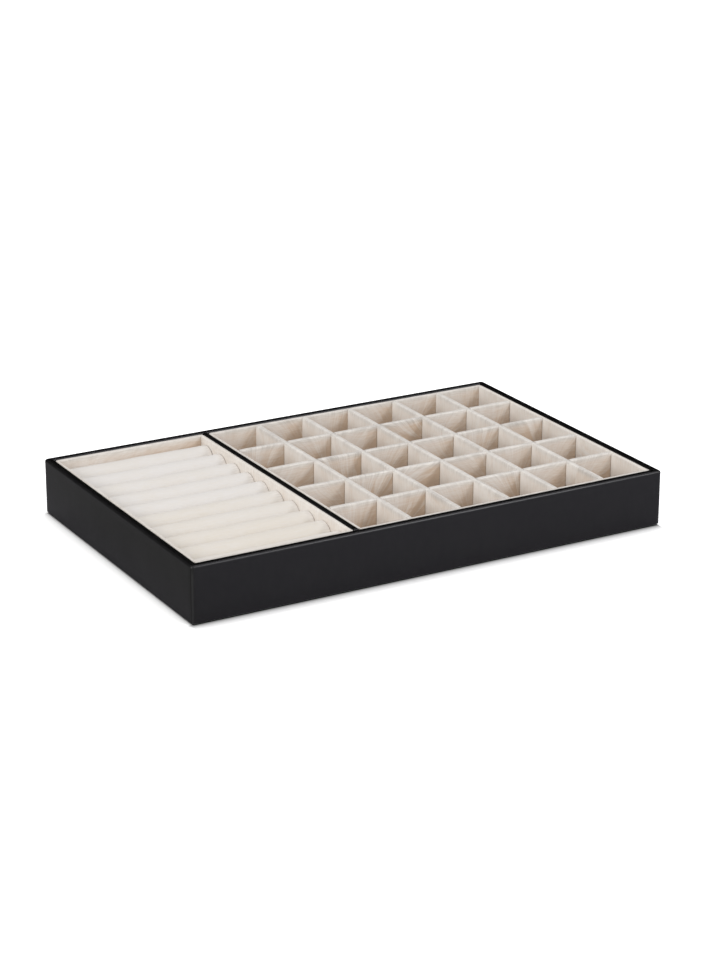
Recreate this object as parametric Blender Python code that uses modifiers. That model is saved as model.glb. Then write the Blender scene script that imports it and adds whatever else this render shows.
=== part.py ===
import math

import bmesh
import bpy
from mathutils import Vector

# Open jewellery tray: a box of thin boards covered in leatherette, with two velvet bays.
# The left bay holds ring rolls on a riser, the right bay an interlocking divider grid.
# X runs along the long front side, Y to the back and Z up, all in metres.
# The origin is the centre of the underside.

# Overall size
TRAY_WIDTH = 0.405
TRAY_DEPTH = 0.2594
TRAY_HEIGHT = 0.0452

# Clearance between two pieces that touch
SEAT = 0.0003

# Distance under which points of one turned piece are welded
WELD = 0.00002

# Boards of the carcass
WALL_BOARD = 0.0040
BASE_BOARD = 0.003
PARTITION_BOARD = 0.002

# Leatherette covering: sheet thickness, rounded edges and turned-in margins
WRAP_SHEET = 0.0007
OUTER_RIM_RADIUS = 0.0022
INNER_RIM_RADIUS = 0.0012
BOTTOM_EDGE_RADIUS = 0.0013
CORNER_RADIUS = 0.0025
INNER_CORNER_RADIUS = 0.0005
RIM_TURN_IN = 0.012
BASE_TURN_IN = 0.010
PARTITION_RIM_RADIUS = 0.0012
PARTITION_TURN_DOWN = 0.012

# Felt sheet under the base
COVER_SHEET = 0.0006
COVER_INSET = 0.004
COVER_CORNER_RADIUS = 0.003

# Velvet-covered card panels that line both bays
LINING = 0.0028
LINING_DROP = 0.0006
LINING_EDGE_RADIUS = 0.0012

# Ring bay: clear width between the left wall and the partition, riser, and rolls that share its depth
RING_BAY_WIDTH = 0.1294
RISER = 0.0104
RISER_EDGE_RADIUS = 0.001
ROLLS = 10
ROLL_SLEEVE = 0.001
ROLL_END_RADIUS = 0.002
ROLL_END_HEM = 0.004

# Divider grid: the first cells take up what the bay has over
COLUMNS = 6
ROWS = 5
DIVIDER = 0.0042
DIVIDER_EDGE_RADIUS = 0.0018
FIRST_COLUMN_EXTRA = 0.001
FIRST_ROW_EXTRA = 0.001
FLOOR_PAD = 0.0025
FLOOR_PAD_EDGE_RADIUS = 0.0008

# How far a cutter passes the piece that it cuts
OVERRUN = 0.002

# Facets of the rounded forms
CORNER_STEPS = 4
EDGE_STEPS = 3
ROLL_SIDES = 20
SHARP_ANGLE = math.radians(60)

# Heights, from the ground up
wrap_allowance = SEAT + WRAP_SHEET
wrap_underside = COVER_SHEET + SEAT
board_underside = wrap_underside + wrap_allowance
base_top = board_underside + BASE_BOARD
foot = base_top + SEAT
board_top = TRAY_HEIGHT - wrap_allowance
lining_top = TRAY_HEIGHT - LINING_DROP

# Plan of the carcass
half_width = TRAY_WIDTH / 2
half_depth = TRAY_DEPTH / 2
wall_total = WALL_BOARD + 2 * wrap_allowance
inner_left = wall_total - half_width
inner_right = half_width - wall_total
inner_front = wall_total - half_depth
inner_back = half_depth - wall_total
partition_left = inner_left + RING_BAY_WIDTH
partition_right = partition_left + PARTITION_BOARD + 2 * wrap_allowance

# Clear space inside the lining of each bay
lining_total = SEAT + LINING
clear_front = inner_front + lining_total
clear_back = inner_back - lining_total
ring_left = inner_left + lining_total
ring_right = partition_left - lining_total
grid_left = partition_right + lining_total
grid_right = inner_right - lining_total

# Colours of the finishes, with roughness
LEATHERETTE = ("leatherette", (0.022, 0.022, 0.024), 0.45)
BOARD = ("board", (0.42, 0.31, 0.20), 0.85)
VELVET = ("velvet", (0.66, 0.58, 0.49), 0.95)
ROLL_VELVET = ("roll_velvet", (0.78, 0.71, 0.63), 0.95)
FOAM = ("foam", (0.80, 0.79, 0.74), 0.9)
FELT = ("felt", (0.015, 0.015, 0.016), 0.98)


def clear_scene():
    for old in list(bpy.data.objects):
        bpy.data.objects.remove(old)
    for old in list(bpy.data.collections):
        bpy.data.collections.remove(old)


def new_collection(name):
    collection = bpy.data.collections.new(name)
    bpy.context.scene.collection.children.link(collection)
    return collection


def finish(name, colour, roughness):
    material = bpy.data.materials.new(name)
    material.use_nodes = True
    shader = material.node_tree.nodes["Principled BSDF"]
    shader.inputs["Base Color"].default_value = (*colour, 1)
    shader.inputs["Roughness"].default_value = roughness
    shader.inputs["Metallic"].default_value = 0
    material.diffuse_color = (*colour, 1)
    return material


def place(name, mesh, location, look):
    piece = bpy.data.objects.new(name, mesh)
    piece.location = location
    piece.parent = origin
    mesh.materials.clear()
    mesh.materials.append(materials[look[0]])
    parts.objects.link(piece)
    return piece


def mesh_from(name, shape):
    mesh = bpy.data.meshes.new(name)
    shape.to_mesh(mesh)
    shape.free()
    return mesh


# Edges of a block, chosen by their direction and by the side they lie on
def upright(direction, side):
    return abs(direction.z) > 0


def upper(direction, side):
    return direction.z == 0 and side.z > 0


def lower(direction, side):
    return direction.z == 0 and side.z < 0


def upper_long(axis, sign):
    def chosen(direction, side):
        return upper(direction, side) and abs(direction[axis]) > 0 and side[1 - axis] * sign > 0
    return chosen


def upright_facing(sign):
    def chosen(direction, side):
        return abs(direction.z) > 0 and side.y * sign > 0
    return chosen


def block(name, low, high, look, rounds=()):
    # A cuboid between two corners, whose chosen edges are rounded
    shape = bmesh.new()
    bmesh.ops.create_cube(shape, size=1)
    bmesh.ops.scale(shape, vec=Vector(high) - Vector(low), verts=shape.verts)
    mesh = mesh_from(name, shape)
    piece = place(name, mesh, (Vector(high) + Vector(low)) / 2, look)
    rounds = [(chosen, radius) for chosen, radius in rounds if radius > 0]
    if rounds:
        widest = max(radius for _, radius in rounds)
        weights = mesh.attributes.new("bevel_weight_edge", "FLOAT", "EDGE")
        for edge in mesh.edges:
            start, end = (mesh.vertices[i].co for i in edge.vertices)
            for chosen, radius in rounds:
                if chosen(end - start, end + start):
                    weights.data[edge.index].value = radius / widest
        bevel = piece.modifiers.new("Rounded edges", "BEVEL")
        bevel.limit_method = "WEIGHT"
        bevel.width = widest
        bevel.segments = EDGE_STEPS
    return piece


def arc(centre, radius, start, end, steps):
    # Points on an arc, with its angles counted in quarter turns
    turns = [start + (end - start) * i / steps for i in range(steps + 1)]
    return [
        (
            centre[0] + radius * math.cos(turn * math.pi / 2),
            centre[1] + radius * math.sin(turn * math.pi / 2),
        )
        for turn in turns
    ]


def plan_ring(shape, inset, height):
    # A rounded rectangle, set in from the tray's outline
    radius = max(CORNER_RADIUS - inset, INNER_CORNER_RADIUS)
    reach_x = half_width - inset - radius
    reach_y = half_depth - inset - radius
    corners = ((reach_x, reach_y), (-reach_x, reach_y), (-reach_x, -reach_y), (reach_x, -reach_y))
    points = []
    for quarter, centre in enumerate(corners):
        points += arc(centre, radius, quarter, quarter + 1, CORNER_STEPS)
    return [shape.verts.new((x, y, height)) for x, y in points]


def thicken(piece, thickness):
    solidify = piece.modifiers.new("Sheet", "SOLIDIFY")
    solidify.thickness = thickness
    solidify.offset = -1
    solidify.use_even_offset = True


def make_carcass():
    board_left = wrap_allowance - half_width
    board_right = half_width - wrap_allowance
    board_front = wrap_allowance - half_depth
    board_back = half_depth - wrap_allowance
    wall_left = board_left + WALL_BOARD
    wall_right = board_right - WALL_BOARD
    wall_front = board_front + WALL_BOARD
    wall_back = board_back - WALL_BOARD
    corner = max(CORNER_RADIUS - wrap_allowance, 0)
    bottom = max(BOTTOM_EDGE_RADIUS - wrap_allowance, 0)
    outer = max(OUTER_RIM_RADIUS - wrap_allowance, 0)
    inner = max(INNER_RIM_RADIUS - wrap_allowance, 0)
    block(
        "base_board",
        (board_left, board_front, board_underside),
        (board_right, board_back, base_top),
        BOARD,
        [(upright, corner), (lower, bottom)],
    )
    # The long walls run the full width and the short ones stand between them
    for name, y_low, y_high, out in (
        ("front_wall", board_front, wall_front, -1),
        ("back_wall", wall_back, board_back, 1),
    ):
        block(
            name,
            (board_left, y_low, foot),
            (board_right, y_high, board_top),
            BOARD,
            [
                (upright_facing(out), corner),
                (upper_long(0, out), outer),
                (upper_long(0, -out), inner),
                (upper_long(1, -1), outer),
                (upper_long(1, 1), outer),
            ],
        )
    for name, x_low, x_high, out in (
        ("left_wall", board_left, wall_left, -1),
        ("right_wall", wall_right, board_right, 1),
    ):
        block(
            name,
            (x_low, wall_front + SEAT, foot),
            (x_high, wall_back - SEAT, board_top),
            BOARD,
            [(upper_long(1, out), outer), (upper_long(1, -out), inner)],
        )
    edge = max(partition_radius() - wrap_allowance, 0)
    block(
        "partition_board",
        (partition_left + wrap_allowance, inner_front + SEAT, foot),
        (partition_right - wrap_allowance, inner_back - SEAT, board_top),
        BOARD,
        [(upper_long(1, -1), edge), (upper_long(1, 1), edge)],
    )


def partition_radius():
    # The strip's two rounded edges share the width of the partition
    return min(PARTITION_RIM_RADIUS, (partition_right - partition_left) / 2 - SEAT)


def make_outer_wrap():
    # The sheet's outer side, from its turned-in edge over the rim and down to under the base
    section = [(wall_total, TRAY_HEIGHT - RIM_TURN_IN)]
    inner_centre = (wall_total - INNER_RIM_RADIUS, TRAY_HEIGHT - INNER_RIM_RADIUS)
    outer_centre = (OUTER_RIM_RADIUS, TRAY_HEIGHT - OUTER_RIM_RADIUS)
    bottom_centre = (BOTTOM_EDGE_RADIUS, wrap_underside + BOTTOM_EDGE_RADIUS)
    section += arc(inner_centre, INNER_RIM_RADIUS, 0, 1, CORNER_STEPS)
    section += arc(outer_centre, OUTER_RIM_RADIUS, 1, 2, CORNER_STEPS)
    section += arc(bottom_centre, BOTTOM_EDGE_RADIUS, 2, 3, CORNER_STEPS)
    section.append((BASE_TURN_IN, wrap_underside))
    shape = bmesh.new()
    rings = [plan_ring(shape, inset, height) for inset, height in section]
    for ring, following in zip(rings, rings[1:]):
        for i in range(len(ring)):
            after = (i + 1) % len(ring)
            shape.faces.new((ring[i], following[i], following[after], ring[after]))
    wrap = place("outer_wrap", mesh_from("outer_wrap", shape), (0, 0, 0), LEATHERETTE)
    thicken(wrap, WRAP_SHEET)
    wrap.data.shade_smooth()


def make_partition_wrap():
    # A strip folded over the top of the partition and down both of its faces
    radius = partition_radius()
    lowest = TRAY_HEIGHT - PARTITION_TURN_DOWN
    left_centre = (partition_left + radius, TRAY_HEIGHT - radius)
    right_centre = (partition_right - radius, TRAY_HEIGHT - radius)
    section = [(partition_right, lowest)]
    section += arc(right_centre, radius, 0, 1, CORNER_STEPS)
    section += arc(left_centre, radius, 1, 2, CORNER_STEPS)
    section.append((partition_left, lowest))
    shape = bmesh.new()
    lines = [
        [shape.verts.new((x, y, z)) for x, z in section]
        for y in (inner_front + SEAT, inner_back - SEAT)
    ]
    for i in range(len(section) - 1):
        shape.faces.new((lines[0][i], lines[1][i], lines[1][i + 1], lines[0][i + 1]))
    wrap = place("partition_wrap", mesh_from("partition_wrap", shape), (0, 0, 0), LEATHERETTE)
    thicken(wrap, WRAP_SHEET)
    wrap.data.shade_smooth()


def make_base_cover():
    block(
        "base_cover",
        (COVER_INSET - half_width, COVER_INSET - half_depth, 0),
        (half_width - COVER_INSET, half_depth - COVER_INSET, COVER_SHEET),
        FELT,
        [(upright, COVER_CORNER_RADIUS)],
    )


def make_lining(bay, low_x, high_x):
    # Front and back panels fill the bay's width, and the side panels stand between them
    rounds = [(upright, LINING_EDGE_RADIUS), (upper, LINING_EDGE_RADIUS)]
    front = inner_front + SEAT
    back = inner_back - SEAT
    for side, y_low in (("front", front), ("back", back - LINING)):
        block(
            f"{bay}_liner_{side}",
            (low_x + SEAT, y_low, foot),
            (high_x - SEAT, y_low + LINING, lining_top),
            VELVET,
            rounds,
        )
    for side, x_low in (("left", low_x + SEAT), ("right", high_x - SEAT - LINING)):
        block(
            f"{bay}_liner_{side}",
            (x_low, clear_front + SEAT, foot),
            (x_low + LINING, clear_back - SEAT, lining_top),
            VELVET,
            rounds,
        )


def sleeve_mesh(radius, length):
    # A velvet sleeve turned about Z: rounded ends, hemmed in over the core, open in the middle
    half = length / 2
    inside = radius - ROLL_SLEEVE
    fillet = min(ROLL_END_RADIUS, radius / 2)
    inner_fillet = max(fillet - ROLL_SLEEVE, SEAT)
    mouth = radius - fillet - min(ROLL_END_HEM, (radius - fillet) / 2)
    centre = (radius - fillet, half - fillet)
    inner_centre = (inside - inner_fillet, half - ROLL_SLEEVE - inner_fillet)
    upper_outer = arc(centre, fillet, 1, 0, EDGE_STEPS)
    upper_inner = arc(inner_centre, inner_fillet, 0, 1, EDGE_STEPS - 1)
    upper_side = [(mouth, half), *upper_outer]
    inner_side = [*upper_inner, (mouth, half - ROLL_SLEEVE)]
    section = [
        *upper_side,
        *[(r, -h) for r, h in reversed(upper_side)],
        *[(r, -h) for r, h in reversed(inner_side)],
        *inner_side,
    ]
    shape = bmesh.new()
    points = [shape.verts.new((r, 0, h)) for r, h in section]
    for i, point in enumerate(points):
        shape.edges.new((point, points[(i + 1) % len(points)]))
    return mesh_from("sleeve", shape)


def core_mesh(radius, length):
    shape = bmesh.new()
    bmesh.ops.create_cone(
        shape, cap_ends=True, segments=ROLL_SIDES, radius1=radius, radius2=radius, depth=length
    )
    mesh = mesh_from("core", shape)
    mesh.shade_smooth()
    mesh.set_sharp_from_angle(angle=SHARP_ANGLE)
    return mesh


def make_rolls():
    riser_top = foot + RISER
    block(
        "ring_riser",
        (ring_left + SEAT, clear_front + SEAT, foot),
        (ring_right - SEAT, clear_back - SEAT, riser_top),
        FOAM,
        [(upright, RISER_EDGE_RADIUS), (upper, RISER_EDGE_RADIUS)],
    )
    pitch = (clear_back - clear_front) / ROLLS
    radius = (pitch - SEAT) / 2
    length = ring_right - ring_left - 2 * SEAT
    middle = (ring_left + ring_right) / 2
    sleeve = sleeve_mesh(radius, length)
    # The core ends where the sleeve's rounded ends begin, and keeps its seat all round
    core_radius = radius - ROLL_SLEEVE - SEAT
    core_length = length - 2 * (min(ROLL_END_RADIUS, radius / 2) + SEAT)
    core = core_mesh(core_radius, core_length)
    for i in range(ROLLS):
        # The first roll is the one at the back
        y = clear_back - pitch * (i + 0.5)
        location = (middle, y, riser_top + SEAT + radius)
        for name, mesh, look in (("sleeve", sleeve, ROLL_VELVET), ("core", core, FOAM)):
            roll = place(f"ring_roll_{i + 1:02}_{name}", mesh, location, look)
            roll.rotation_euler = (0, math.pi / 2, 0)
            if name == "sleeve":
                screw = roll.modifiers.new("Turned", "SCREW")
                screw.steps = ROLL_SIDES
                screw.render_steps = ROLL_SIDES
                screw.merge_threshold = WELD


def centres(low, high, cells, first_extra):
    # Middles of the dividers between equal cells, of which the first is wider
    cell = (high - low - first_extra - (cells - 1) * DIVIDER) / cells
    first = low + first_extra + cell + DIVIDER / 2
    return [first + i * (cell + DIVIDER) for i in range(cells - 1)]


def slot_cutter(name, axis, middles, reach, low_z, high_z):
    # One box for each slot, running across all the dividers that it cuts
    shape = bmesh.new()
    for middle in middles:
        low = [reach[0], reach[0], low_z]
        high = [reach[1], reach[1], high_z]
        low[axis] = middle - DIVIDER / 2 - SEAT
        high[axis] = middle + DIVIDER / 2 + SEAT
        made = bmesh.ops.create_cube(shape, size=1)["verts"]
        bmesh.ops.scale(shape, vec=Vector(high) - Vector(low), verts=made)
        bmesh.ops.translate(shape, vec=(Vector(high) + Vector(low)) / 2, verts=made)
    cutter = bpy.data.objects.new(name, mesh_from(name, shape))
    cutter.parent = origin
    cutter.hide_render = True
    cutter.display_type = "WIRE"
    cutters.objects.link(cutter)
    return cutter


def make_grid():
    pad_top = foot + FLOOR_PAD
    block(
        "grid_floor_pad",
        (grid_left + SEAT, clear_front + SEAT, foot),
        (grid_right - SEAT, clear_back - SEAT, pad_top),
        VELVET,
        [(upper, FLOOR_PAD_EDGE_RADIUS)],
    )
    divider_foot = pad_top + SEAT
    middle = (divider_foot + lining_top) / 2
    across = centres(grid_left, grid_right, COLUMNS, FIRST_COLUMN_EXTRA)
    along = centres(clear_front, clear_back, ROWS, FIRST_ROW_EXTRA)
    # The long dividers are slotted from below and the cross ones from above
    lower_slots = slot_cutter(
        "lower_slots",
        1,
        along,
        (grid_left - OVERRUN, grid_right + OVERRUN),
        divider_foot - OVERRUN,
        middle + SEAT / 2,
    )
    upper_slots = slot_cutter(
        "upper_slots",
        0,
        across,
        (clear_front - OVERRUN, clear_back + OVERRUN),
        middle - SEAT / 2,
        lining_top + OVERRUN,
    )
    edge = min(DIVIDER_EDGE_RADIUS, DIVIDER / 2 - SEAT)
    for i, x in enumerate(across):
        divider = block(
            f"long_divider_{i + 1}",
            (x - DIVIDER / 2, clear_front + SEAT, divider_foot),
            (x + DIVIDER / 2, clear_back - SEAT, lining_top),
            VELVET,
            [(upper_long(1, -1), edge), (upper_long(1, 1), edge)],
        )
        cut(divider, lower_slots)
    for i, y in enumerate(along):
        divider = block(
            f"cross_divider_{i + 1}",
            (grid_left + SEAT, y - DIVIDER / 2, divider_foot),
            (grid_right - SEAT, y + DIVIDER / 2, lining_top),
            VELVET,
            [(upper_long(0, -1), edge), (upper_long(0, 1), edge)],
        )
        cut(divider, upper_slots)


def cut(piece, cutter):
    boolean = piece.modifiers.new("Slots", "BOOLEAN")
    boolean.operation = "DIFFERENCE"
    boolean.solver = "EXACT"
    boolean.object = cutter


clear_scene()
parts = new_collection("Jewellery tray")
cutters = new_collection("Cutters")
origin = bpy.data.objects.new("tray_origin", None)
parts.objects.link(origin)
looks = (LEATHERETTE, BOARD, VELVET, ROLL_VELVET, FOAM, FELT)
materials = {look[0]: finish(*look) for look in looks}
make_carcass()
make_outer_wrap()
make_partition_wrap()
make_base_cover()
make_lining("ring", inner_left, partition_left)
make_lining("grid", partition_right, inner_right)
make_rolls()
make_grid()
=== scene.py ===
import math

import bmesh
import bpy
from mathutils import Matrix, Vector, noise


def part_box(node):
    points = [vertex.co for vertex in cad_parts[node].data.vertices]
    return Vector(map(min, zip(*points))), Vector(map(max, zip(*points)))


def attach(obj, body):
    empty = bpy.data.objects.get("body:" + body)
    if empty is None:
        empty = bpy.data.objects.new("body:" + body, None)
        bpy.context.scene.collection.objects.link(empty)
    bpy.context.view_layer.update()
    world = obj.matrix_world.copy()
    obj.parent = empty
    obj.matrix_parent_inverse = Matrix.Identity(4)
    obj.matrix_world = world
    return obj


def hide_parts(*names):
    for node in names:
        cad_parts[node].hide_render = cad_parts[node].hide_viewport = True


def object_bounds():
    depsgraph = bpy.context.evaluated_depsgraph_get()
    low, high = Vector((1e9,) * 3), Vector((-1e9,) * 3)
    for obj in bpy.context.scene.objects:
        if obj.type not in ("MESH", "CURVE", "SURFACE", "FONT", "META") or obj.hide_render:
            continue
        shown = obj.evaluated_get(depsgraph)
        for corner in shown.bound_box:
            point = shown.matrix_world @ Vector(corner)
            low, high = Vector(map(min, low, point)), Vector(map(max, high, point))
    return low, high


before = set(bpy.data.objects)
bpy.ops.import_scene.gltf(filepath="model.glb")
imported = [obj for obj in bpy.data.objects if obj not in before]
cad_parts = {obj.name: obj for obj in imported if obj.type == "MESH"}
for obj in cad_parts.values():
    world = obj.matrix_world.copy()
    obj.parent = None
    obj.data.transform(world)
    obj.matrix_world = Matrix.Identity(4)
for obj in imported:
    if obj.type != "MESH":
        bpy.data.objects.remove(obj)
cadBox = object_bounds()
print("frame:", len(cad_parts), "nodes")

mm = 0.001


# Small helpers for node trees

class Wire:
    # A node's socket that can be used in sums
    def __init__(self, graph, socket):
        self.graph = graph
        self.socket = socket

    def math(self, operation, *others):
        return self.graph.wire("ShaderNodeMath", (self, *others), operation=operation)

    def __add__(self, other):
        return self.math("ADD", other)

    def __radd__(self, other):
        return self.math("ADD", other)

    def __sub__(self, other):
        return self.math("SUBTRACT", other)

    def __rsub__(self, other):
        return self.graph.wire("ShaderNodeMath", (other, self), operation="SUBTRACT")

    def __mul__(self, other):
        return self.math("MULTIPLY", other)

    def __rmul__(self, other):
        return self.math("MULTIPLY", other)

    def __truediv__(self, other):
        return self.math("DIVIDE", other)

    def __rtruediv__(self, other):
        return self.graph.wire("ShaderNodeMath", (other, self), operation="DIVIDE")

    def __pow__(self, other):
        return self.math("POWER", other)

    def __gt__(self, other):
        return self.math("GREATER_THAN", other)

    def ramp(self, low, high, fromLow=0, fromHigh=1, kind="SMOOTHSTEP"):
        # The value carried over from one span to another
        spans = {"From Min": low, "From Max": high, "To Min": fromLow, "To Max": fromHigh}
        return self.graph.wire("ShaderNodeMapRange", {"Value": self, **spans}, interpolation_type=kind)


class Graph:
    def __init__(self, tree):
        self.tree = tree
        tree.nodes.clear()

    def node(self, kind, sockets=(), **settings):
        made = self.tree.nodes.new(kind)
        for name, value in settings.items():
            setattr(made, name, value)
        pairs = sockets.items() if isinstance(sockets, dict) else enumerate(sockets)
        for key, value in pairs:
            if isinstance(value, Wire):
                self.tree.links.new(value.socket, made.inputs[key])
            else:
                made.inputs[key].default_value = value
        return made

    def wire(self, kind, sockets=(), out=0, **settings):
        return Wire(self, self.node(kind, sockets, **settings).outputs[out])

    def vector(self, operation, *sockets, out=0):
        return self.wire("ShaderNodeVectorMath", sockets, out=out, operation=operation)

    def scaled(self, vector, factor):
        return self.wire("ShaderNodeVectorMath", {0: vector, "Scale": factor}, operation="SCALE")

    def join(self, x=0, y=0, z=0):
        return self.wire("ShaderNodeCombineXYZ", (x, y, z))

    def split(self, wire):
        made = self.node("ShaderNodeSeparateXYZ", (wire,))
        return [Wire(self, socket) for socket in made.outputs]

    def noise(self, vector, scale, detail=2, roughness=0.5, out=0):
        sockets = {"Vector": vector, "Scale": scale, "Detail": detail, "Roughness": roughness}
        return self.wire("ShaderNodeTexNoise", sockets, out=out)

    def mixColour(self, factor, first, second, blend="MIX"):
        sockets = {0: factor, 6: first, 7: second}
        return self.wire("ShaderNodeMix", sockets, out=2, data_type="RGBA", blend_type=blend)


def newMaterial(name):
    material = bpy.data.materials.new(name)
    material.use_nodes = True
    return material, Graph(material.node_tree)


def endMaterial(graph, colour, roughness, height, bump, **constants):
    # A Principled shader with a bump, of a strength and a depth, linked to the output
    strength, depth = bump
    normal = graph.wire("ShaderNodeBump", {"Strength": strength, "Distance": depth, "Height": height})
    sockets = {"Base Color": colour, "Roughness": roughness, "Normal": normal}
    shader = graph.node("ShaderNodeBsdfPrincipled", sockets)
    for name, value in constants.items():
        shader.inputs[name.replace("_", " ")].default_value = value
    graph.node("ShaderNodeOutputMaterial", (Wire(graph, shader.outputs[0]),))


# Camera and studio

cameraView = {
    "place": (-0.93321, -1.63902, 0.72144),
    "azimuth": 29.864,      # degrees from +Y towards +X
    "down": 20.072,
    "roll": 0.177,
    "lens": 96.73,
    "sensor": 36,
}


def makeCamera():
    turn, down, roll = (math.radians(cameraView[k]) for k in ("azimuth", "down", "roll"))
    ahead = Vector((math.sin(turn) * math.cos(down), math.cos(turn) * math.cos(down), -math.sin(down)))
    level = Vector((math.cos(turn), -math.sin(turn), 0))
    upright = level.cross(ahead)
    right = math.cos(roll) * level + math.sin(roll) * upright
    up = math.cos(roll) * upright - math.sin(roll) * level
    camera = bpy.data.objects.new("camera", bpy.data.cameras.new("camera"))
    camera.data.lens = cameraView["lens"]
    camera.data.sensor_width = cameraView["sensor"]
    camera.data.clip_start = 0.05
    camera.matrix_world = Matrix((right, up, -ahead)).transposed().to_4x4()
    camera.location = cameraView["place"]
    bpy.context.scene.collection.objects.link(camera)
    bpy.context.scene.camera = camera


studio = {
    "worldLight": 0.84,
    "floorRadius": 9.0,
    "floorColour": 0.8,
    "floorSeen": 1.62,       # how pale the camera sees the floor
    "floorMirrored": (0.46, 0.222),  # how pale reflections see it, in front and on the left
    "mirroredTurn": (-0.05, 0.04),   # where one passes into the other, from the tray's left side
    "floorTint": (-0.05, 0.22),      # how much green and blue the front part gains in reflections
    "cornerTone": 0.5,       # how pale reflections see the paper in front of the near corner
    "cornerSpan": 20 * mm,
    "darkTent": 2.6,         # radius of the dark surround that only reflections see
    "darkTone": 0.01,
    "cardTone": 1.05,        # the pale card over the front, drawn on the tent
    "cardTint": (1, 0.955, 1.04),
    "lamps": {
        # name: place, size, watts, colour
        "sideWindow": ((-1.764, -0.573, 0.749), 0.8, 12.0, (1.0, 0.99, 0.97)),
        "rimLight": ((0.85, -1.27, 0.98), 0.5, 8.0, (0.96, 0.97, 1.0)),
    },
}


def stageObject(name, shape, material):
    mesh = bpy.data.meshes.new(name)
    shape.to_mesh(mesh)
    shape.free()
    mesh.materials.append(material)
    made = bpy.data.objects.new(name, mesh)
    bpy.context.scene.collection.objects.link(made)
    return made


paintedFloorShade = {
    "front": (0.72, 8 * mm),         # the shade painted on the paper in front of the tray: strength and reach
    "left": (0.42, 3.0 * mm),        # the same on the left
    "under": (-4 * mm, -2 * mm),     # where it begins, under the tray
    "cornerReach": 4 * mm,           # how soon it ends past the near corner
    "endStart": 1.2 * mm,            # how far before the far corner it starts to end
    "endReach": 0.8 * mm,
    "contactStart": 1.4 * mm,        # the darkest painted line starts this far under the tray
    "contactReach": 0.9 * mm,
    "contactCorner": 1.6 * mm,       # and starts to end this far before the near corner
    "contactPace": 1.2,
}


def makeFloor():
    # To the camera the paper is nearly white, with a shade painted beside the tray
    material, graph = newMaterial("floorPaper")
    path = graph.node("ShaderNodeLightPath")
    seen = Wire(graph, path.outputs["Is Camera Ray"])
    mirrored = Wire(graph, path.outputs["Is Glossy Ray"])
    x, y, z = graph.split(graph.wire("ShaderNodeTexCoord", out=3))
    low, high = cadBox
    # How far a place lies outside each side of the tray
    left, right, front, back = x * -1 - high[0], x - high[0], y * -1 - high[1], y - high[1]
    paintedShades = []
    for key, beside, corner, end in (("front", front, left, right), ("left", left, front, back)):
        strength, reach = paintedFloorShade[key]
        beyond = corner.math("MAXIMUM", 0)
        pastEnd = (end + paintedFloorShade["endStart"]).math("MAXIMUM", 0)
        fade = beside.math("MAXIMUM", 0) / reach + beyond / paintedFloorShade["cornerReach"]
        fade = fade + pastEnd / paintedFloorShade["endReach"]
        pastCorner = beyond + (corner + paintedFloorShade["contactCorner"]).math("MAXIMUM", 0)
        contact = (beside + paintedFloorShade["contactStart"]).math("MAXIMUM", 0)
        contact = (contact + pastCorner * paintedFloorShade["contactPace"]) / -paintedFloorShade["contactReach"]
        depth = contact.math("EXPONENT") * (1 - strength) + strength
        paintedShades.append((fade * -1).math("EXPONENT") * beside.ramp(*paintedFloorShade["under"]) * depth)
    shade = paintedShades[0].math("MAXIMUM", paintedShades[1])
    plain = studio["floorColour"]
    inFront, onLeft = studio["floorMirrored"]
    start, end = studio["mirroredTurn"]
    reflected = x.ramp(low[0] + start, low[0] + end, onLeft, inFront)
    nearCorner = left.ramp(0, studio["cornerSpan"]) * front.ramp(0, studio["cornerSpan"])
    reflected = reflected + nearCorner * (studio["cornerTone"] - onLeft)
    tone = plain + mirrored * (reflected - plain) + seen * (studio["floorSeen"] * (1 - shade) - plain)
    tinted = mirrored * (reflected - onLeft) * (1 - nearCorner)
    green, blue = (tone + tinted * part for part in studio["floorTint"])
    surface = graph.wire("ShaderNodeBsdfDiffuse", {"Color": graph.join(tone, green, blue)})
    graph.node("ShaderNodeOutputMaterial", (surface,))
    shape = bmesh.new()
    bmesh.ops.create_circle(shape, cap_ends=True, segments=64, radius=studio["floorRadius"])
    stageObject("floor", shape, material)


def makeDarkTent():
    # A dark tent behind the lamps keeps the white room out of the leatherette's reflections
    material, graph = newMaterial("darkTent")
    x, y, z = graph.split(graph.vector("NORMALIZE", graph.wire("ShaderNodeTexCoord", out=3)))
    # The card's soft borders, in directions from the tray: back, floor, right and lower left
    pale = y.ramp(-0.05, 0.4, 1, 0) * z.ramp(0.0, 0.2) * x.ramp(0.65, 0.85, 1, 0)
    pale = pale * (x + z).ramp(0.2, 0.45)
    tone, dark = studio["cardTone"], studio["darkTone"]
    tones = [pale * (tone * tint - dark) + dark for tint in studio["cardTint"]]
    surface = graph.wire("ShaderNodeBsdfDiffuse", {"Color": graph.join(*tones)})
    graph.node("ShaderNodeOutputMaterial", (surface,))
    shape = bmesh.new()
    bmesh.ops.create_icosphere(shape, subdivisions=4, radius=studio["darkTent"])
    tent = stageObject("darkTent", shape, material)
    for way in ("camera", "diffuse", "transmission", "volume_scatter", "shadow"):
        setattr(tent, "visible_" + way, False)


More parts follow.
